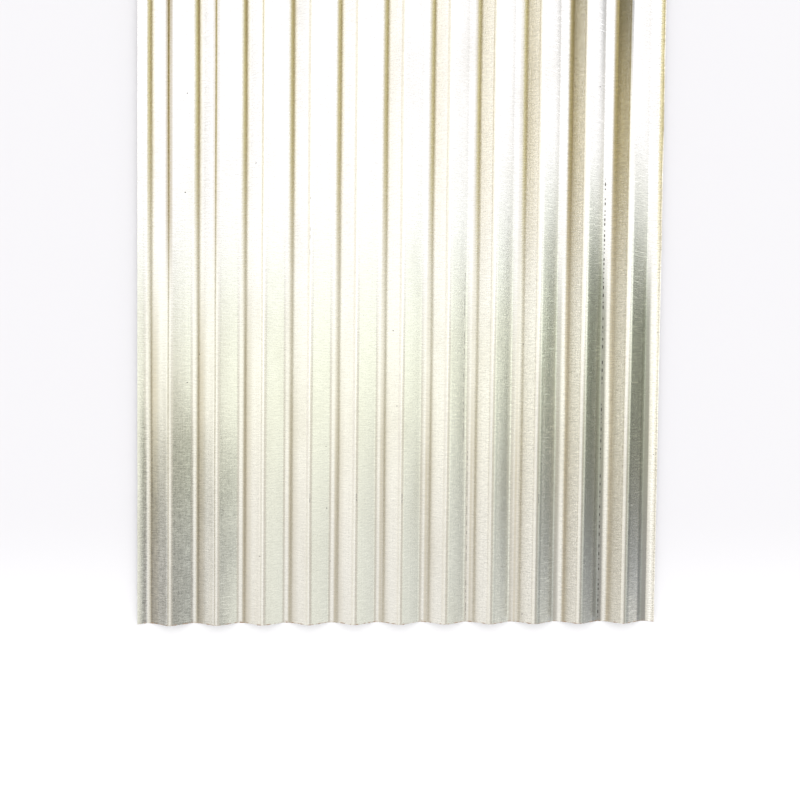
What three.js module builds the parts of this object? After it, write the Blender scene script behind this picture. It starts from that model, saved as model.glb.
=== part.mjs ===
// A flat-stored sheet of roll-formed corrugated roofing steel, in millimetres.
// +X runs across the corrugations, +Y along them and +Z up. The origin is the middle of the
// sheet's footprint, on the plane that the undersides of its valleys rest on.
//
// The section is the one that corrugating rolls make: round bends joined by straight slopes
// that are tangent to both. It leans a little: to the right of a crest the metal falls to a
// tight bend, and from there it rises in a wide one to the next crest. Both side edges run on
// past the outermost valleys, so that the next sheet can lap over a whole corrugation.

import * as THREE from "three";

// Section
const PITCH = 76.2; // from crest to crest
const DEPTH = 18; // over all, from the valleys' undersides to the tops of the crests
const THICKNESS = 0.25; // steel with its metal coating
const CREST_TO_VALLEY = 36.3; // across, from a crest to the bottom of the valley on its right
const CREST_RADIUS = 11; // this and the other radii are to the middle of the metal
const FALLING_VALLEY_RADIUS = 10; // from the slope that falls into the valley to its bottom
const RISING_VALLEY_RADIUS = 32; // from its bottom to the slope that rises to the next crest
const CREST_COUNT = 11;

// Outline
const LENGTH = 2000;
const LEFT_LAP = 55; // from the middle of the first crest out to the left edge
const RIGHT_LAP = 56; // from the middle of the last crest out to the right edge

// Each bend is a run of flat strips that are tangent to it. The middle strip of a bend is
// level, and the outermost ones are the slopes themselves.
const STRIPS_FROM_LEVEL_TO_SLOPE = 6;

const GALVANISED_STEEL = new THREE.MeshStandardMaterial({
  name: "galvanised_steel",
  color: 0xc9c8bd,
  roughness: 0.32,
  metalness: 1,
});

const FIRST_CREST_X = (-(CREST_COUNT - 1) * PITCH + LEFT_LAP - RIGHT_LAP) / 2;
const LAST_CREST_X = FIRST_CREST_X + (CREST_COUNT - 1) * PITCH;
const LEFT_EDGE_X = FIRST_CREST_X - LEFT_LAP;
const RIGHT_EDGE_X = LAST_CREST_X + RIGHT_LAP;

// The slope between a crest and a valley that lie so far apart across the sheet. Its angle above
// level is that of the line which touches the crest's bend from above and the valley's from below.
function slope(across, valleyRadius) {
  const bothRadii = CREST_RADIUS + valleyRadius;
  const rise = DEPTH - THICKNESS - bothRadii; // from the valley bend's centre to the crest bend's
  const apart = Math.hypot(across, rise);
  const angle = Math.atan2(rise, across) + Math.asin(bothRadii / apart);
  return { angle, valleyRadius };
}

const FALLING = slope(CREST_TO_VALLEY, FALLING_VALLEY_RADIUS);
const RISING = slope(PITCH - CREST_TO_VALLEY, RISING_VALLEY_RADIUS);

// The creases of one half of a bend, from its level strip out to its slope. side is 1 for a
// crest and -1 for a valley, and way is -1 for the left half and 1 for the right one. Each
// crease is a point in the middle of the metal with the direction that halves the strips
// beside it, stretched so that the sheet keeps its thickness.
function halfBend(middleX, side, way) {
  const { angle, valleyRadius } = side === way ? FALLING : RISING;
  const radius = side === 1 ? CREST_RADIUS : valleyRadius;
  const centreZ = DEPTH / 2 + side * ((DEPTH - THICKNESS) / 2 - radius);
  const stripAngle = angle / STRIPS_FROM_LEVEL_TO_SLOPE;
  const stretch = 1 / Math.cos(stripAngle / 2); // from a strip's middle out to its creases
  const creases = [];
  for (let i = 0; i < STRIPS_FROM_LEVEL_TO_SLOPE; i++) {
    const turned = (i + 1 / 2) * stripAngle;
    const outward = new THREE.Vector2(way * Math.sin(turned), side * Math.cos(turned));
    outward.multiplyScalar(stretch);
    const point = new THREE.Vector2(middleX, centreZ).addScaledVector(outward, radius);
    creases.push({ point, across: outward.clone().multiplyScalar(side) });
  }
  return creases;
}

// The creases of one bend, from left to right.
function bendCreases(middleX, side) {
  return [...halfBend(middleX, side, -1).reverse(), ...halfBend(middleX, side, 1)];
}

// The section's creases over the whole width and past both edges.
function allCreases() {
  const first = -Math.ceil(LEFT_LAP / PITCH) - 1;
  const last = CREST_COUNT + Math.ceil(RIGHT_LAP / PITCH);
  const creases = [];
  for (let corrugation = first; corrugation <= last; corrugation++) {
    const crestX = FIRST_CREST_X + corrugation * PITCH;
    creases.push(...bendCreases(crestX, 1));
    creases.push(...bendCreases(crestX + CREST_TO_VALLEY, -1));
  }
  return creases;
}

// The sheared edge between two creases, square to the strip that it cuts.
function edgeBetween(inner, outer, edgeX) {
  const share = (edgeX - inner.point.x) / (outer.point.x - inner.point.x);
  const point = inner.point.clone().lerp(outer.point, share);
  const along = outer.point.clone().sub(inner.point).normalize();
  const across = new THREE.Vector2(-along.y, along.x);
  return { point, across: across.y < 0 ? across.negate() : across };
}

// The middle line of the metal, from the left edge to the right one.
function sectionLine() {
  const creases = allCreases();
  const inside = creases.filter(({ point }) => point.x > LEFT_EDGE_X && point.x < RIGHT_EDGE_X);
  const beforeFirst = creases[creases.indexOf(inside[0]) - 1];
  const afterLast = creases[creases.indexOf(inside.at(-1)) + 1];
  return [
    edgeBetween(inside[0], beforeFirst, LEFT_EDGE_X),
    ...inside,
    edgeBetween(inside.at(-1), afterLast, RIGHT_EDGE_X),
  ];
}

// The closed outline of the section: along the underside, and back over the top.
function sectionShape() {
  const line = sectionLine();
  const offset = (way) => ({ point, across }) => point.clone().addScaledVector(across, (way * THICKNESS) / 2);
  const underside = line.map(offset(-1));
  const top = line.map(offset(1)).reverse();
  return new THREE.Shape([...underside, ...top]);
}

function corrugatedSheet() {
  const geometry = new THREE.ExtrudeGeometry(sectionShape(), {
    depth: LENGTH,
    steps: 1,
    bevelEnabled: false,
  });
  geometry.translate(0, 0, -LENGTH / 2);
  geometry.rotateX(Math.PI / 2); // the section's height becomes +Z, its length lies along Y
  const sheet = new THREE.Mesh(geometry, GALVANISED_STEEL);
  sheet.name = "corrugated_sheet";
  return sheet;
}

const part = new THREE.Group();
part.name = "corrugated_metal_sheet";
part.add(corrugatedSheet());

export default part;
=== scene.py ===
"""A sheet of corrugated roofing steel with its zinc finish, lying on a pale studio floor."""

import math

import bpy
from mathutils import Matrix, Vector, noise


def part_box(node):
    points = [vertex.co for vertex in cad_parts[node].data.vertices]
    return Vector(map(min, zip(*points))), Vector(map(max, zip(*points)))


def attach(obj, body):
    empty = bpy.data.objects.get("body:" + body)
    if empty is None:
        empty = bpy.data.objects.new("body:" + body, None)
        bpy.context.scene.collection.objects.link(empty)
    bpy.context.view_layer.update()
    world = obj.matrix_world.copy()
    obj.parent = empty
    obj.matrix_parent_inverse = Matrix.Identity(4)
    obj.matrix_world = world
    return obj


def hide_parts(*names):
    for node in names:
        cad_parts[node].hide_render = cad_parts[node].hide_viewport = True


bl_info = {
    "name": "Corrugated metal sheet",
    "version": (1, 0, 0),
    "blender": (4, 5, 0),
    "location": "View3D > Sidebar > Sheet",
    "description": "Builds a corrugated roofing sheet, its zinc finish and a studio around it",
    "category": "Add Mesh",
}

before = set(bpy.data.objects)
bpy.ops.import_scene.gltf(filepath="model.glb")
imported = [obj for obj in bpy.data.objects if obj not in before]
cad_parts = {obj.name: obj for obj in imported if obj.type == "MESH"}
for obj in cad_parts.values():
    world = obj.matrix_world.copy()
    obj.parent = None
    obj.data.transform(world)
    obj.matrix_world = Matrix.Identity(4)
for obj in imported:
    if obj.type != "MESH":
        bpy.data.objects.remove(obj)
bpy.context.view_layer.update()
NODE = "corrugated_sheet"
LOW, HIGH = (Vector(corner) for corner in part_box(NODE))


# ---------------------------------------------------------------- settings


class SheetSizes(bpy.types.PropertyGroup):
    """The section that the rolls give the sheet. Its outer sizes come from the frame."""

    pitch: bpy.props.FloatProperty(
        name="Pitch", description="From one crest to the next",
        default=0.0762, unit="LENGTH",
    )
    crests: bpy.props.IntProperty(
        name="Crests", description="Whole crests across the sheet", default=11,
    )
    thickness: bpy.props.FloatProperty(
        name="Thickness", description="Steel with its zinc",
        default=0.00025, unit="LENGTH",
    )
    crest_to_valley: bpy.props.FloatProperty(
        name="Crest to valley", description="Across, from a crest to the valley on its right",
        default=0.0363, unit="LENGTH",
    )
    crest_radius: bpy.props.FloatProperty(
        name="Crest radius", description="Bend at a crest, to the middle of the metal",
        default=0.011, unit="LENGTH",
    )
    falling_radius: bpy.props.FloatProperty(
        name="Falling radius", description="Bend at the foot of the slope that falls into a valley",
        default=0.01, unit="LENGTH",
    )
    rising_radius: bpy.props.FloatProperty(
        name="Rising radius", description="Bend at the foot of the slope that rises out of it",
        default=0.032, unit="LENGTH",
    )
    bow: bpy.props.FloatProperty(
        name="Bow", description="How much a slope steepens or flattens, each side of its middle",
        default=math.radians(1.5), subtype="ANGLE",
    )
    left_lap: bpy.props.FloatProperty(
        name="Left lap", description="From the first crest out to the left edge",
        default=0.055, unit="LENGTH",
    )
    wander: bpy.props.FloatProperty(
        name="Wander", description="How far a bend strays sideways along the sheet",
        default=0.0006, unit="LENGTH",
    )
    ragged: bpy.props.FloatProperty(
        name="Ragged", description="How far the sheared edges stray inward from a straight cut",
        default=0.001, unit="LENGTH",
    )
    sag: bpy.props.FloatProperty(
        name="Sag", description="Share of its height that a crest loses where it is pressed down",
        default=0.02, subtype="FACTOR",
    )


class SteelFinish(bpy.types.PropertyGroup):
    """The look of the zinc coating, what has settled on it, and the shade and highlight painted on
    it.
    """

    zinc: bpy.props.FloatVectorProperty(
        name="Zinc", description="Colour of the clean coating",
        default=(0.75, 0.74, 0.715), subtype="COLOR", size=3,
    )
    dull_zinc: bpy.props.FloatVectorProperty(
        name="Dull zinc", description="Colour of the coating in its dull clouds",
        default=(0.62, 0.6, 0.55), subtype="COLOR", size=3,
    )
    # Partly rubbed bright and partly a painted highlight, which brightens the reflected lines along
    # the crests.
    polish_and_highlight: bpy.props.FloatVectorProperty(
        name="Polished", description="Colour where the crests are rubbed bright",
        default=(0.95, 0.94, 0.92), subtype="COLOR", size=3,
    )
    # Painted shade: what is left of the zinc's colour where darker reflections are painted on, and
    # on the dull corner.
    dulling_and_shade: bpy.props.FloatVectorProperty(
        name="Film", description="What the dull film leaves of the zinc's colour",
        default=(0.49, 0.505, 0.47), subtype="COLOR", size=3,
    )
    # Painted shade at the near end, bluer, as painted bluish light.
    near_dulling_and_shade: bpy.props.FloatVectorProperty(
        name="Near film", description="What the dull film leaves of it at the near end",
        default=(0.5, 0.515, 0.54), subtype="COLOR", size=3,
    )
    # Painted shade in brown at the feet of the rising slopes, and a brown tone on the crests on the
    # left.
    brown_shade_and_tone: bpy.props.FloatVectorProperty(
        name="Stain", description="What a brown stain leaves of the zinc's colour",
        default=(0.6, 0.54, 0.43), subtype="COLOR", size=3,
    )
    # A green tint on the falling slopes to the right.
    green: bpy.props.FloatVectorProperty(
        name="Green", description="What the green tarnish leaves of the zinc's colour",
        default=(0.93, 0.95, 0.88), subtype="COLOR", size=3,
    )
    # A bluish grey darkening of two streaks on the far half.
    dark_tint: bpy.props.FloatVectorProperty(
        name="Soot", description="What the soot on the far half leaves of the zinc's colour",
        default=(0.33, 0.345, 0.38), subtype="COLOR", size=3,
    )
    rust: bpy.props.FloatVectorProperty(
        name="Rust", description="Colour of the rust on the cut ends",
        default=(0.3, 0.17, 0.08), subtype="COLOR", size=3,
    )
    dirt: bpy.props.FloatVectorProperty(
        name="Dirt", description="Colour of the specks and nicks",
        default=(0.06, 0.055, 0.045), subtype="COLOR", size=3,
    )
    roughness: bpy.props.FloatProperty(
        name="Roughness", description="Of the clean coating",
        default=0.18, subtype="FACTOR",
    )
    grain_depth: bpy.props.FloatProperty(
        name="Grain depth", description="Height of the fine grain of the zinc",
        default=0.00014, unit="LENGTH",
    )
    roll_depth: bpy.props.FloatProperty(
        name="Roll line depth", description="Height of the lines along the sheet",
        default=0.00002, unit="LENGTH",
    )
    chatter_depth: bpy.props.FloatProperty(
        name="Chatter depth", description="Height of the fine ripples across it",
        default=0.0001, unit="LENGTH",
    )


class StudioSettings(bpy.types.PropertyGroup):
    """The studio that the sheet is shown in."""

    # Painted light: the floor before the sheet is brighter, a painted pool of light that washes out
    # the sheet's shadow.
    floor: bpy.props.FloatVectorProperty(
        name="Floor", description="Colour of the floor before the sheet",
        default=(0.96, 0.965, 0.97), subtype="COLOR", size=3,
    )
    far_floor: bpy.props.FloatVectorProperty(
        name="Far floor", description="Colour of the floor beside the sheet",
        default=(0.793, 0.79, 0.811), subtype="COLOR", size=3,
    )
    room: bpy.props.FloatVectorProperty(
        name="Room", description="Light from all around the floor",
        default=(1.2, 1.19, 1.19), subtype="COLOR", size=3, max=2.0,
    )
    near_walls: bpy.props.FloatVectorProperty(
        name="Near walls", description="What the metal mirrors of the near end of the room",
        default=(1.18, 1.15, 1.05), subtype="COLOR", size=3, max=2.0,
    )
    far_walls: bpy.props.FloatVectorProperty(
        name="Far walls", description="What the metal mirrors of the rest of the room",
        default=(1.46, 1.46, 1.5), subtype="COLOR", size=3, max=2.0,
    )


# ---------------------------------------------------------------- shader arithmetic


class Wire:
    """An output socket that is used like a number. Each sum or comparison adds a Math node."""

    def __init__(self, graph, socket):
        self.graph = graph
        self.socket = socket

    def __add__(self, other):
        return self.graph.math("ADD", self, other)

    def __sub__(self, other):
        return self.graph.math("SUBTRACT", self, other)

    def __rsub__(self, other):
        return self.graph.math("SUBTRACT", other, self)

    def __mul__(self, other):
        return self.graph.math("MULTIPLY", self, other)

    def __truediv__(self, other):
        return self.graph.math("DIVIDE", self, other)

    def __gt__(self, other):
        return self.graph.math("GREATER_THAN", self, other)

    __radd__ = __add__
    __rmul__ = __mul__

    def beside(self, name):
        """Another output of the same node."""
        return Wire(self.graph, self.socket.node.outputs[name])


class Graph:
    """The node tree of a material or of the world."""

    def __init__(self, tree):
        self.tree = tree
        tree.nodes.clear()

    def node(self, kind, settings=None, inputs=None, output=0):
        """Add a node, set it up, fill its sockets and return one of its outputs."""
        node = self.tree.nodes.new(kind)
        for name, value in (settings or {}).items():
            setattr(node, name, value)
        for name, value in (inputs or {}).items():
            if isinstance(value, Wire):
                self.tree.links.new(value.socket, node.inputs[name])
            else:
                node.inputs[name].default_value = value
        return Wire(self, node.outputs[output]) if node.outputs else node

    def math(self, operation, *values):
        return self.node("ShaderNodeMath", {"operation": operation}, dict(enumerate(values)))

    def larger(self, first, second):
        return self.math("MAXIMUM", first, second)

    def vector(self, x, y, z=0.0):
        return self.node("ShaderNodeCombineXYZ", inputs={"X": x, "Y": y, "Z": z})

    def split(self, vector):
        """The three numbers of a vector."""
        x = self.node("ShaderNodeSeparateXYZ", inputs={"Vector": vector})
        return x, x.beside("Y"), x.beside("Z")

    def place(self):
        """The three coordinates of a point of the object."""
        return self.split(self.node("ShaderNodeTexCoord", output="Object"))

    def ramp(self, value, start, end):
        """0 before start and 1 after end, with a soft step between. start may be the larger."""
        settings = {"interpolation_type": "SMOOTHSTEP"}
        inputs = {"Value": value, "From Min": start, "From Max": end}
        return self.node("ShaderNodeMapRange", settings, inputs)

    def band(self, value, low, high, soft):
        """1 between two values and 0 outside them, with soft steps as wide as soft."""
        half = soft / 2
        return self.ramp(value, low - half, low + half) * self.ramp(value, high + half, high - half)

    def noise(self, vector, detail=2.0, roughness=0.5):
        """Noise from 0 to 1 whose lumps are about one unit of the vector wide."""
        inputs = {"Vector": vector, "Scale": 1.0, "Detail": detail, "Roughness": roughness}
        return self.node("ShaderNodeTexNoise", inputs=inputs)

    def mix(self, factor, first, second):
        """Two colours mixed."""
        settings = {"data_type": "RGBA"}
        return self.node("ShaderNodeMix", settings, {0: factor, 6: first, 7: second}, output=2)

    def shade(self, factor, colour, shares):
        """A colour under a layer as thick as factor says, which leaves only shares of it."""
        settings = {"data_type": "RGBA", "blend_type": "MULTIPLY"}
        return self.node("ShaderNodeMix", settings, {0: factor, 6: colour, 7: shares}, output=2)

    def brighten(self, factor, colour):
        """A colour made brighter or darker by a number."""
        inputs = {"Vector": colour, "Scale": factor}
        return self.node("ShaderNodeVectorMath", {"operation": "SCALE"}, inputs)

    def paint(self, inputs):
        """Add the shader of a material and the output that it feeds."""
        shader = self.node("ShaderNodeBsdfPrincipled", inputs=inputs)
        self.node("ShaderNodeOutputMaterial", inputs={"Surface": shader})


def opaque(colour):
    return (*colour, 1.0)


def new_material(name):
    """A material and the graph of its empty node tree."""
    material = bpy.data.materials.new(name)
    material.use_nodes = True
    return material, Graph(material.node_tree)


def placed(name, data):
    """A new object in the scene."""
    thing = bpy.data.objects.new(name, data)
    bpy.context.scene.collection.objects.link(thing)
    return thing


# ---------------------------------------------------------------- stage


# The floor lies a hair below the sheet.
FLOOR_HALF, FLOOR_LEVEL = 6.0, -0.0002
# Where its colour before the sheet, painted brighter as a pool of light that washes out the sheet's
# shadow, gives way to its colour beside the sheet.
FLOOR_LIGHT_POOL = (LOW.y - 0.15, LOW.y + 0.2)

DOME_RADIUS = 3.0
DOME_CENTRE = Vector((0.0, LOW.y + 0.43, 0.0))
DOME_RINGS, DOME_TURNS = 16, 48
# Where the near walls' light gives way to the far walls', in degrees from straight up.
WALL_BLEND = (-18, 6)
# The dark soft cards on the dome, which the metal mirrors as bands: from and to on the sideways
# turn, from and to on the turn towards the far end, how soft the two pairs of borders are, all in
# degrees from straight up, and the share of the light that each card lets through.
CARDS = (
    ((-47.5, -38), (14, 90), (7, 14), (0.3, 0.22, 0.03)),
    ((-50, -20), (12, 90), (12, 14), (0.58, 0.52, 0.27)),
    ((-62, -48), (12, 90), (8, 14), (0.97, 0.93, 0.8)),
    ((-47, -38), (-22, 13), (9, 14), (0.52, 0.49, 0.41)),
    ((-50, -29), (-60, 13), (10, 10), (0.75, 0.73, 0.68)),
    ((3, 33), (-60, 4), (14, 14), (0.68, 0.66, 0.62)),
    ((36, 43), (-60, 9), (6, 10), (0.44, 0.43, 0.37)),
    ((45, 76), (-60, 14), (10, 10), (0.965, 1.0, 0.94)),
    ((56, 72), (-60, -4), (8, 10), (0.88, 0.88, 0.91)),
    ((68, 74), (-60, 0), (6, 8), (0.65, 0.65, 0.65)),
    ((71.5, 77.5), (-16, 14), (4, 9), (0.01, 0.015, 0.0)),
    ((72.5, 80), (-20, -13), (6, 9), (0.22, 0.25, 0.32)),
    ((77.5, 100), (-13, 10), (5, 9), (0.2, 0.21, 0.18)),
    ((80, 100), (-20, -13), (6, 9), (0.36, 0.4, 0.48)),
    ((-100, 100), (-8, 8), (10, 10), (1.0, 1.0, 0.89)),
    ((-74, 100), (-60, -15), (6, 6), (0.95, 0.96, 1.0)),
    ((-100, -80), (-60, -2), (8, 8), (0.62, 0.6, 0.56)),
)

CAMERA_PLACE = Vector((-0.0853, LOW.y + 0.4306, 1.509))
# Degrees about x, y and z from looking straight down. The turn about z comes first.
CAMERA_TURN = (-2.042, -3.122, 0.584)
# In millimetres.
CAMERA_SENSOR, CAMERA_LENS = 36.0, 40.527


def smooth_floor(settings):
    """A wide flat floor, painted brighter before the sheet as a pool of light."""
    corners = [(-1, -1), (1, -1), (1, 1), (-1, 1)]
    mesh = bpy.data.meshes.new("floor")
    verts = [(x * FLOOR_HALF, y * FLOOR_HALF, FLOOR_LEVEL) for x, y in corners]
    mesh.from_pydata(verts, [], [(0, 1, 2, 3)])
    material, graph = new_material("floor_paint")
    _, y, _ = graph.place()
    # Painted light: brighter before the sheet, a pool of light that washes out its shadow.
    blend = graph.ramp(y, *FLOOR_LIGHT_POOL)
    colour = graph.mix(blend, opaque(settings.floor), opaque(settings.far_floor))
    graph.paint({"Base Color": colour, "Roughness": 0.9})
    mesh.materials.append(material)
    floor = placed("floor", mesh)


def dome_light(settings):
    """The dome's glow: the walls' light, dimmed by the cards."""
    material, graph = new_material("dome_light")
    place = graph.node("ShaderNodeTexCoord", output="Object")
    way = graph.node("ShaderNodeVectorMath", {"operation": "NORMALIZE"}, {"Vector": place})
    x, y, z = graph.split(way)
    sideways = graph.math("DEGREES", graph.math("ARCTAN2", x, z))
    onward = graph.math("DEGREES", graph.math("ARCSINE", y))
    blend = graph.ramp(onward, *WALL_BLEND)
    light = graph.mix(blend, opaque(settings.near_walls), opaque(settings.far_walls))
    for across, along, (soft_across, soft_along), share in CARDS:
        card = graph.band(sideways, *across, soft_across) * graph.band(onward, *along, soft_along)
        light = graph.shade(card, light, opaque(share))
    black = {"Base Color": (0.0, 0.0, 0.0, 1.0), "Specular IOR Level": 0.0, "Roughness": 1.0}
    graph.paint({**black, "Emission Color": light, "Emission Strength": 1.0})
    material.cycles.emission_sampling = "NONE"
    return material


def dome(settings):
    """A pale dome, seen by nothing but the shine of the metal."""
    verts, faces = [], []
    for ring in range(DOME_RINGS + 1):
        lift = math.pi / 2 * ring / DOME_RINGS
        for step in range(DOME_TURNS):
            turn = 2 * math.pi * step / DOME_TURNS
            out = DOME_RADIUS * math.cos(lift)
            verts.append((out * math.cos(turn), out * math.sin(turn), DOME_RADIUS * math.sin(lift)))
    for ring in range(DOME_RINGS):
        for step in range(DOME_TURNS):
            a = ring * DOME_TURNS + step
            b = ring * DOME_TURNS + (step + 1) % DOME_TURNS
            faces.append((a, a + DOME_TURNS, b + DOME_TURNS, b))
    mesh = bpy.data.meshes.new("dome")
    mesh.from_pydata(verts, [], faces)
    mesh.materials.append(dome_light(settings))
    shell = placed("dome", mesh)
    shell.location = DOME_CENTRE
    shell.visible_camera = shell.visible_diffuse = shell.visible_shadow = False
    shell.visible_transmission = shell.visible_volume_scatter = False


def daylight(settings):
    """Plain pale light all around, which the metal's shine does not see."""
    world = bpy.data.worlds.new("room")
    bpy.context.scene.world = world
    world.use_nodes = True
    graph = Graph(world.node_tree)
    shader = graph.node("ShaderNodeBackground", inputs={"Color": opaque(settings.room)})
    graph.node("ShaderNodeOutputWorld", inputs={"Surface": shader})
    world.cycles_visibility.glossy = False


def camera():
    """The camera, which looks down on the near half of the sheet."""
    lens = bpy.data.cameras.new("camera")
    lens.sensor_width = CAMERA_SENSOR
    lens.lens = CAMERA_LENS
    eye = placed("camera", lens)
    eye.rotation_mode = "ZXY"
    eye.rotation_euler = [math.radians(turn) for turn in CAMERA_TURN]
    eye.location = CAMERA_PLACE
    bpy.context.scene.camera = eye


class SHEET_OT_stage(bpy.types.Operator):
    """Build the floor, the room's light and the camera"""

    bl_idname = "sheet.stage"
    bl_label = "Stage"

    def execute(self, context):
        scene = context.scene
        smooth_floor(scene.studio)
        dome(scene.studio)
        daylight(scene.studio)
        camera()
        scene.view_settings.view_transform = "Standard"
        return {"FINISHED"}


# ---------------------------------------------------------------- zinc finish


# Places of marks are in metres from the sheet's middle: across it, more to the right, and along
# it, more towards the far end.

# Dark drips and dots in lines along the sheet: where across, half as wide as, from and to along
# it, how many to a metre, and how sparse.
DRIPS = (
    (0.34, 0.0009, -0.995, -0.25, 150, 0.5),
    (0.104, 0.0003, -0.71, -0.4, 110, 0.42),
    (0.112, 0.0003, -0.995, -0.7, 130, 0.45),
    (-0.154, 0.0003, -0.4, -0.29, 110, 0.45),
)
# Small nicks beside some crests: where across, half as wide as, and from and to along the sheet.
NICKS = (-0.152, -0.075, 0.001, 0.231, 0.385)
NICK_HALF = 0.0006
NICK_STRETCH = (-0.794, -0.779)
# Streaks along the sheet: from and to across it, how soft their sides are, where along it they
# set in and where they are full, and how strong they are.
# Painted shade: darker reflections on slopes to the right.
SHADE_STREAKS = (
    (0.313, 0.34, 0.005, -0.3, -0.45, 0.65),
    (0.333, 0.343, 0.003, -0.45, -0.6, 0.35),
    (0.411, 0.422, 0.003, -0.5, -0.7, 1.0),
    (0.232, 0.264, 0.005, -0.62, -0.8, 0.15),
)
# Two streaks on the far half to the right, darkened bluish grey.
DARK_STREAKS = (
    (0.357, 0.379, 0.003, -0.2, 0.1, 1.0),
    (0.278, 0.3, 0.003, -0.2, 0.1, 0.4),
)


class Coating:
    """The zinc over the sheet: places, patterns and marks. A mark is a wire from 0 to 1."""

    def __init__(self, graph, sizes):
        self.graph = graph
        self.x, self.y, self.z = graph.place()
        across = self.x - (LOW.x + sizes.left_lap)
        # How far to the right a point is of the crest on its left, of the nearest crest and of the
        # valley between its two crests. The last two may be below 0.
        past_crest = graph.math("FRACT", across / sizes.pitch) * sizes.pitch
        self.off_crest = graph.math("WRAP", across, -sizes.pitch / 2, sizes.pitch / 2)
        self.past_valley = past_crest - sizes.crest_to_valley
        # The slopes that fall to the right, without the bends at their ends.
        self.falling = graph.band(past_crest, 0.005, sizes.crest_to_valley - 0.0043, 0.005)
        self.patterns()
        self.corner = self.dull_corner()

    def patterns(self):
        """The noises that break up the coating."""
        graph, x, y, z = self.graph, self.x, self.y, self.z
        # The factors are lumps to a metre. A number by itself only keeps two patterns apart.
        spread = graph.vector(x * 480, y * 480, z * 480)
        self.grain = graph.noise(spread, detail=3.0, roughness=0.65)
        self.lines = graph.noise(graph.vector(x * 420, y * 2.5, z * 100))
        bent_y = y + 0.004 * graph.noise(graph.vector(x * 40, y * 6), detail=1.0)
        self.ripples = graph.noise(graph.vector(x * 60, bent_y * 480))
        self.weave = graph.noise(graph.vector(x * 100, y * 520, 3.0), roughness=0.6)
        self.threads = graph.noise(graph.vector(x * 520, y * 45, 5.0), detail=1.0)
        self.patches = graph.noise(graph.vector(x * 16, y * 7, 4.0), detail=1.0)
        clouds = graph.noise(graph.vector(x * 14, y * 5), detail=3.0)
        self.dull = graph.ramp(clouds + 0.15 * self.lines, 0.5, 0.95) * 0.6
        marks = graph.noise(graph.vector(x * 50, bent_y * 300, 2.0), detail=0.0)
        scratched = graph.ramp(self.patches, 0.4, 0.6) * self.falling
        self.scratches = graph.ramp(marks, 0.66, 0.72) * scratched

    def streaks(self, rows):
        """The streaks of a table, added up."""
        total = 0.0
        for left, right, soft, sets_in, full, strength in rows:
            streak = strength * self.graph.band(self.x, left, right, soft)
            total = total + streak * self.graph.ramp(self.y, sets_in, full)
        return total

    def round_specks(self):
        """Specks of dirt: one in some of the cells of a loose grid."""
        graph = self.graph
        cells_per_metre, share = 9, 0.24
        cells = graph.vector(self.x * cells_per_metre, self.y * cells_per_metre)
        settings = {"voronoi_dimensions": "2D"}
        distance = graph.node("ShaderNodeTexVoronoi", settings, {"Vector": cells, "Scale": 1.0})
        chance, _, _ = graph.split(distance.beside("Color"))
        # The grain makes them ragged.
        return graph.ramp(distance + 0.02 * self.grain, 0.02, 0.014) * (chance > 1 - share)

    def dirt(self):
        """Specks, drips in lines along the sheet and nicks beside some crests."""
        graph, x, y = self.graph, self.x, self.y
        dirt = self.round_specks()
        for at, half, start, end, per_metre, gap in DRIPS:
            strayed_x = x + 0.0016 * (graph.noise(graph.vector(at, y * 9)) - 0.5)
            dots = graph.noise(graph.vector(at * 50, y * per_metre), detail=0.0)
            drip = graph.band(strayed_x, at - half, at + half, half)
            drip = drip * graph.band(y, start, end, 0.02)
            dirt = graph.larger(dirt, drip * graph.ramp(dots, gap, gap + 0.08))
        for at in NICKS:
            nick = graph.band(x, at - NICK_HALF, at + NICK_HALF, NICK_HALF)
            nick = nick * graph.band(y, *NICK_STRETCH, 0.002)
            dirt = graph.larger(dirt, 0.8 * nick * graph.ramp(self.ripples, 0.42, 0.52))
        return dirt

    def rust(self):
        """Rust on the two cut ends, and spots of it in the valleys beside them."""
        graph = self.graph
        from_end = graph.math("MINIMUM", self.y - LOW.y, HIGH.y - self.y)
        lumps = graph.noise(graph.vector(self.x * 130, self.y * 60, 9.0))
        cut = graph.ramp(from_end, 0.0032, 0.0006) * graph.ramp(lumps, 0.42, 0.62)
        spots = graph.ramp(from_end + 0.006 * lumps, 0.009, 0.004)
        spots = spots * graph.band(self.past_valley, -0.0023, 0.0037, 0.004)
        return graph.larger(cut, 0.7 * spots * graph.ramp(lumps, 0.45, 0.6))

    def dull_corner(self):
        """The dull patch on the near left corner, which spares the crests and the valleys."""
        graph = self.graph
        crests = graph.band(self.off_crest, -0.0035, 0.004, 0.005)
        valleys = graph.band(self.past_valley, -0.0003, 0.0067, 0.003)
        loose = 0.1 * (self.patches - 0.5) - 0.05 * self.falling
        corner = graph.ramp(self.x + loose, LOW.x + 0.175, LOW.x + 0.04)
        corner = corner * graph.ramp(self.y + loose, -0.61, -0.8)
        edge = graph.ramp(self.x, LOW.x + 0.002, LOW.x + 0.01)
        return corner * (1.0 - crests - valleys) * edge

    def dulling_and_shade(self):
        """Painted shade and a dull patch: darker reflections painted on the feet and shoulders of
        the falling slopes to the right and in streaks, and the dull patch on the near left corner.
        """
        graph, x, y = self.graph, self.x, self.y
        foot = graph.ramp(y, -0.34, -0.5) * graph.band(self.past_valley, -0.0101, 0.0047, 0.005)
        shoulder = graph.ramp(y, -0.45, -0.75) * graph.band(self.off_crest, -0.001, 0.0085, 0.003)
        right = graph.ramp(x, 0.2, 0.34) * foot + 0.6 * graph.ramp(x, 0.1, 0.26) * shoulder
        return graph.larger(0.78 * self.corner, right + self.streaks(SHADE_STREAKS))

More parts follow.
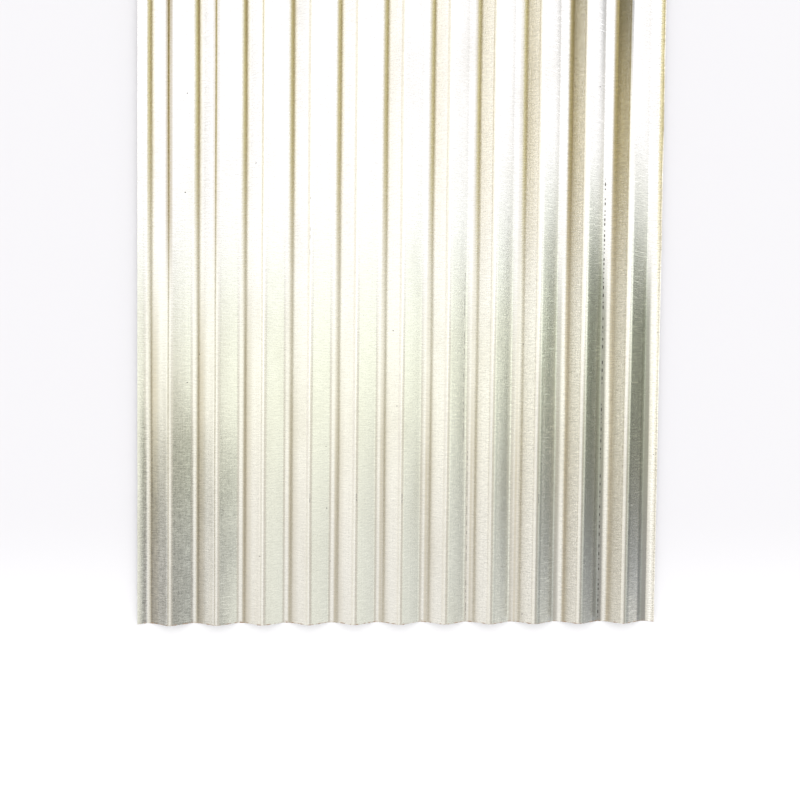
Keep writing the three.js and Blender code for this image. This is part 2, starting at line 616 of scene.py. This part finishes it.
    def coarseness(self):
        """How coarse the mottling is: most in the corner, and more to the right on the slopes."""
        graph = self.graph
        crests = graph.band(self.off_crest, -0.005, 0.004, 0.003)
        valleys = graph.band(self.past_valley, -0.0023, 0.0097, 0.004)
        smooth = 0.9 * self.falling * graph.ramp(self.y, -0.45, -0.15)
        right = 0.4 * (1.0 - crests - valleys) * graph.ramp(self.x, 0.0, 0.3) * (1.0 - smooth)
        return graph.larger(self.corner, right)

    def mottling(self):
        """How much brighter or, below 0, darker a point is than its surroundings."""
        coarse = self.coarseness()
        grain = (0.35 + 0.75 * coarse) * (self.grain - 0.5)
        weave = (0.2 + coarse) * (self.weave - 0.5)
        return grain + weave + 0.45 * coarse * (self.threads - 0.5)

    def crest_polish_and_highlight(self):
        """The crests where they are rubbed bright and a highlight is painted on them, least at the
        near end, and the right edge.
        """
        graph = self.graph
        crests = graph.band(self.off_crest, -0.0055, 0.0005, 0.002)
        crests = crests * graph.ramp(self.x, -0.33, -0.24)
        crests = crests * (0.35 + 0.65 * graph.ramp(self.y, -0.75, -0.5))
        return graph.larger(crests, graph.ramp(self.x, HIGH.x - 0.0106, HIGH.x - 0.0066))

    def rubbed_rough(self):
        """The left shoulder of each crest, where it is rubbed matt."""
        shoulders = self.graph.band(self.off_crest, -0.0055, -0.001, 0.0015)
        return shoulders * self.graph.ramp(self.x, -0.28, -0.2)

    def brown_crest_tone(self):
        """A brown tone on the crests on the left, but for their near ends."""
        graph = self.graph
        left = graph.band(self.off_crest, -0.007, 0.004, 0.004) * graph.ramp(self.x, -0.27, -0.36)
        return left * graph.ramp(self.y, -0.5, -0.3)

    def painted_valley_shade(self):
        """Painted shade, in brown, along the feet of the rising slopes: a thin line, and wide in
        places.
        """
        graph, x, y = self.graph, self.x, self.y
        side_margin, right_end = 0.03, 0.412
        # How far past the valley it starts, which is farther on the right and most at the near end.
        farther = 0.0045 + 0.002 * graph.ramp(y, -0.5, -0.7)
        foot = 0.0047 + graph.ramp(x, 0.2, 0.28) * farther

        far_left = graph.ramp(y, -0.1, 0.08) * graph.ramp(x, -0.1, -0.3)
        line = 0.3 + 0.4 * graph.ramp(y, -0.55, -0.75) + 0.45 * far_left
        line = line * graph.band(x, LOW.x + side_margin, HIGH.x - side_margin, 0.004)
        line = line * graph.band(self.past_valley, foot, foot + 0.0045, 0.003)

        near_left = graph.ramp(x, -0.22, -0.27) * graph.ramp(y, -0.35, -0.6)
        near = graph.larger(0.8 * near_left, 0.4 * graph.ramp(y, -0.5, -0.72))
        near = near * graph.ramp(x, right_end, right_end - 0.012)
        wide = graph.larger(graph.band(x, 0.24, right_end, 0.05), near)
        wide = wide * graph.ramp(self.past_valley, foot, foot + 0.0025)
        wide = wide * graph.ramp(self.past_valley, 0.0247, 0.0127)
        return graph.larger(wide, line)

    def green(self):
        """A green tint on the falling slopes, halfway along the near half and to the right."""
        graph, y = self.graph, self.y
        right = 0.9 * self.falling * graph.ramp(self.x, 0.12, 0.3)
        return right * graph.ramp(y, -0.15, -0.35) * graph.ramp(y, -0.8, -0.45)


def coating_colour(graph, finish, coating, dulling_and_shade, dirt, rust):
    """The colour of the zinc and all that lies on it, with the shade and highlight painted on it.
    """
    near = graph.ramp(coating.y, -0.7, -0.93)
    dulling_and_shade_colour = graph.mix(near, opaque(finish.dulling_and_shade), opaque(finish.near_dulling_and_shade))
    brown_shade_and_tone = opaque(finish.brown_shade_and_tone)
    uneven = 0.3 + coating.grain
    crests = coating.brown_crest_tone()
    # The crests get a second brown tone on the far half.
    far_crest_tone = 0.6 * crests * graph.ramp(coating.y, -0.1, 0.08)
    # The scratches show most where shade is painted or the corner is dull, and on the right.
    scratched = 0.05 + 0.2 * graph.larger(dulling_and_shade, graph.ramp(coating.x, 0.1, 0.3))
    brightness = 1.0 + coating.mottling() + 0.2 * (coating.ripples - 0.5)
    brightness = brightness + 0.12 * (coating.lines - 0.5) + scratched * coating.scratches

    colour = graph.mix(coating.dull, opaque(finish.zinc), opaque(finish.dull_zinc))
    # Painted highlight on the crests, partly real polish, and the right edge made lighter.
    colour = graph.mix(0.8 * coating.crest_polish_and_highlight(), colour, opaque(finish.polish_and_highlight))
    # Painted shade: darker reflections on the slopes to the right, and the dull patch on the near
    # left corner.
    colour = graph.shade(dulling_and_shade, colour, dulling_and_shade_colour)
    # Painted shade in brown along the feet of the rising slopes, and a brown tone on the crests on
    # the left.
    colour = graph.shade(graph.larger(coating.painted_valley_shade(), crests) * uneven, colour, brown_shade_and_tone)
    colour = graph.shade(far_crest_tone * uneven, colour, brown_shade_and_tone)
    # A green tint on the falling slopes to the right.
    colour = graph.shade(coating.green(), colour, opaque(finish.green))
    # A bluish grey darkening of two streaks on the far half.
    colour = graph.shade(coating.streaks(DARK_STREAKS) * uneven, colour, opaque(finish.dark_tint))
    colour = graph.brighten(brightness, colour)
    colour = graph.mix(rust, colour, opaque(finish.rust))
    return graph.mix(dirt, colour, opaque(finish.dirt))


def galvanised_steel(finish, sizes):
    """Bright zinc with grain, roll lines and ripples, under painted shade and highlight, a dull
    patch, tints, dirt and rust.
    """
    material, graph = new_material("galvanised_steel")
    coating = Coating(graph, sizes)
    dulling_and_shade, dirt, rust = coating.dulling_and_shade(), coating.dirt(), coating.rust()
    soiled = graph.larger(dirt, rust)
    roughness = finish.roughness + 0.06 * coating.dull + 0.05 * (coating.lines - 0.5)
    roughness = roughness + 0.06 * dulling_and_shade + 0.3 * coating.rubbed_rough() + 0.4 * soiled
    height = finish.grain_depth * coating.grain + finish.roll_depth * coating.lines
    height = height + finish.chatter_depth * coating.ripples
    bumps = {"Strength": 1.0, "Distance": 1.0, "Height": height}
    graph.paint({
        "Base Color": coating_colour(graph, finish, coating, dulling_and_shade, dirt, rust),
        "Metallic": 1.0 - 0.8 * soiled,
        "Roughness": roughness,
        "Normal": graph.node("ShaderNodeBump", inputs=bumps),
    })
    return material


# ---------------------------------------------------------------- sheet


# How many steps the mesh has along the sheet and on each half of a bend, and where on a slope,
# as shares of it, its points are.
ROWS = 100
BEND_STEPS = 6
SLOPE_POINTS = (0.06, 0.28, 0.5, 0.72, 0.94)


def clipped(line, low_x, high_x):
    """The points of a section between two edges, with a point at each edge."""
    kept = [point for point in line if low_x < point[0] < high_x]
    ends = []
    for inner, outer, edge in (
        (kept[0], line[line.index(kept[0]) - 1], low_x),
        (kept[-1], line[line.index(kept[-1]) + 1], high_x),
    ):
        share = (edge - inner[0]) / (outer[0] - inner[0])
        ends.append(tuple(a + share * (b - a) for a, b in zip(inner, outer)))
    return [ends[0], *kept, ends[1]]


def slope_angle(across, rise, both_radii):
    """The angle of the line that touches a crest's bend from above and a valley's from below."""
    rise -= both_radii
    return math.atan2(rise, across) + math.asin(both_radii / math.hypot(rise, across))


def joined(start, end):
    """Points on the slope between two bends: a cubic that leaves and arrives along them."""
    x0, z0, nx0, nz0 = start
    x1, z1, nx1, nz1 = end
    length = math.hypot(x1 - x0, z1 - z0)
    points = []
    for t in SLOPE_POINTS:
        # How much each end and each end's direction counts at t, then how fast that changes.
        first, last = (1 + 2 * t) * (1 - t) ** 2, t * t * (3 - 2 * t)
        leave, arrive = t * (1 - t) ** 2 * length, t * t * (t - 1) * length
        rate = 6 * t * (1 - t)
        leave_rate, arrive_rate = (1 - t) * (1 - 3 * t) * length, t * (3 * t - 2) * length
        x = first * x0 + last * x1 + leave * nz0 + arrive * nz1
        z = first * z0 + last * z1 - leave * nx0 - arrive * nx1
        along_x = rate * (x1 - x0) + leave_rate * nz0 + arrive_rate * nz1
        along_z = rate * (z1 - z0) - leave_rate * nx0 - arrive_rate * nx1
        size = math.hypot(along_x, along_z)
        points.append((x, z, -along_z / size, along_x / size))
    return points


def section(sizes):
    """The middle of the metal across the sheet, as (x, z, normal x, normal z), edge to edge."""
    middle = (LOW.z + HIGH.z) / 2
    amplitude = (HIGH.z - LOW.z - sizes.thickness) / 2
    crest, falling, rising = sizes.crest_radius, sizes.falling_radius, sizes.rising_radius
    down = slope_angle(sizes.crest_to_valley, 2 * amplitude, crest + falling)
    up = slope_angle(sizes.pitch - sizes.crest_to_valley, 2 * amplitude, crest + rising)
    # A crest's bend and a valley's: where, which way up, and radius and slope on either side.
    bends = (
        (0.0, 1, (crest, up + sizes.bow), (crest, down - sizes.bow)),
        (sizes.crest_to_valley, -1, (falling, down + sizes.bow), (rising, up - sizes.bow)),
    )
    line = []
    # It starts and ends outside the edges, and is then clipped there.
    for corrugation in range(-2, sizes.crests + 1):
        crest_x = LOW.x + sizes.left_lap + corrugation * sizes.pitch
        for offset, side, left, right in bends:
            arc = []
            for i in range(-BEND_STEPS, BEND_STEPS + 1):
                radius, slope = left if i < 0 else right
                angle = slope * i / BEND_STEPS
                x = crest_x + offset + radius * math.sin(angle)
                z = middle + side * (amplitude - radius * (1 - math.cos(angle)))
                arc.append((x, z, side * math.sin(angle), math.cos(angle)))
            if line:
                line += joined(line[-1], arc[0])
            line += arc
    return clipped(line, LOW.x, HIGH.x)


def waves(x, y, across, along, seed):
    """Noise from -1 to 1 with so many lumps to a metre across and along the sheet."""
    return noise.noise((x * across, y * along, seed))


def strayed(x, y, z, sizes):
    """A point of the perfect sheet, moved as a real one is: bends wander, crests are pressed."""
    # How far in from a side the bends wander in full, and how far in its ragged cut is felt.
    free_from, cut_reach = 0.02, 0.002
    from_side = min(x - LOW.x, HIGH.x - x)
    free = min(1.0, from_side / free_from)
    sideways = waves(x, y, 13, 2.2, 0.0) + 0.5 * waves(x, y, 30, 5, 3.0)
    # The left and right sides each have their own noise.
    nick = 0.5 + 0.5 * noise.noise((0.0 if x < 0 else 9.0, y * 90, 5.0))
    inward = sizes.ragged * nick * max(0.0, 1.0 - from_side / cut_reach) * (1 if x < 0 else -1)
    pressed = sizes.sag * (0.5 + 0.5 * waves(x, y, 5, 1.6, 7.0))
    return x + sizes.wander * sideways * free + inward, y, z * (1.0 - pressed)


def sheet_points(line, sizes):
    """The points of the upper skin and then of the lower one, row by row from the near end."""
    half = sizes.thickness / 2
    points = []
    for side in (1, -1):
        for row in range(ROWS + 1):
            for x, z, nx, nz in line:
                y = LOW.y + (HIGH.y - LOW.y) * row / ROWS
                if row in (0, ROWS):
                    cut = 0.5 + 0.3 * waves(x, y, 260, 1, 1.0) + 0.2 * waves(x, y, 70, 1, 2.0)
                    y += sizes.ragged * cut * (1 if row == 0 else -1)
                points.append(strayed(x + side * half * nx, y, z + side * half * nz, sizes))
    return points


def sheet_faces(columns):
    """The faces of both skins, and those of the cut ends and sides between them."""
    below = columns * (ROWS + 1)
    faces = []
    for row in range(ROWS):
        for column in range(columns - 1):
            a = row * columns + column
            faces.append((a, a + 1, a + columns + 1, a + columns))
            b = a + below
            faces.append((b, b + columns, b + columns + 1, b + 1))
    for a in range(columns - 1):
        faces.append((a, a + below, a + 1 + below, a + 1))
        b = ROWS * columns + a
        faces.append((b, b + 1, b + 1 + below, b + below))
    for row in range(ROWS):
        a = row * columns
        faces.append((a, a + columns, a + columns + below, a + below))
        b = a + columns - 1
        faces.append((b, b + below, b + columns + below, b + columns))
    return faces


class SHEET_OT_sheet(bpy.types.Operator):
    """Build the corrugated sheet"""

    bl_idname = "sheet.sheet"
    bl_label = "Corrugated sheet"

    def execute(self, context):
        sizes = context.scene.sheet_sizes
        line = section(sizes)
        mesh = bpy.data.meshes.new("sheet")
        mesh.from_pydata(sheet_points(line, sizes), [], sheet_faces(len(line)))
        mesh.validate()
        mesh.polygons.foreach_set("use_smooth", [True] * len(mesh.polygons))
        mesh.set_sharp_from_angle(angle=math.radians(60))
        mesh.materials.append(galvanised_steel(context.scene.steel_finish, sizes))
        sheet = placed("sheet", mesh)
        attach(sheet, "root")
        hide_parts(NODE)
        return {"FINISHED"}


# ---------------------------------------------------------------- panel and registration


class SHEET_PT_panel(bpy.types.Panel):
    """The sheet's pieces and its stage"""

    bl_label = "Corrugated sheet"
    bl_space_type = "VIEW_3D"
    bl_region_type = "UI"
    bl_category = "Sheet"

    def draw(self, context):
        self.layout.operator("sheet.stage")
        self.layout.operator("sheet.sheet")


SETTINGS = {"sheet_sizes": SheetSizes, "steel_finish": SteelFinish, "studio": StudioSettings}
CLASSES = (*SETTINGS.values(), SHEET_OT_stage, SHEET_OT_sheet, SHEET_PT_panel)


def register():
    for cls in CLASSES:
        bpy.utils.register_class(cls)
    for name, cls in SETTINGS.items():
        setattr(bpy.types.Scene, name, bpy.props.PointerProperty(type=cls))


def unregister():
    for name in SETTINGS:
        delattr(bpy.types.Scene, name)
    for cls in reversed(CLASSES):
        bpy.utils.unregister_class(cls)


def main():
    register()
    bpy.ops.sheet.stage()
    bpy.ops.sheet.sheet()


if __name__ == "__main__":
    main()
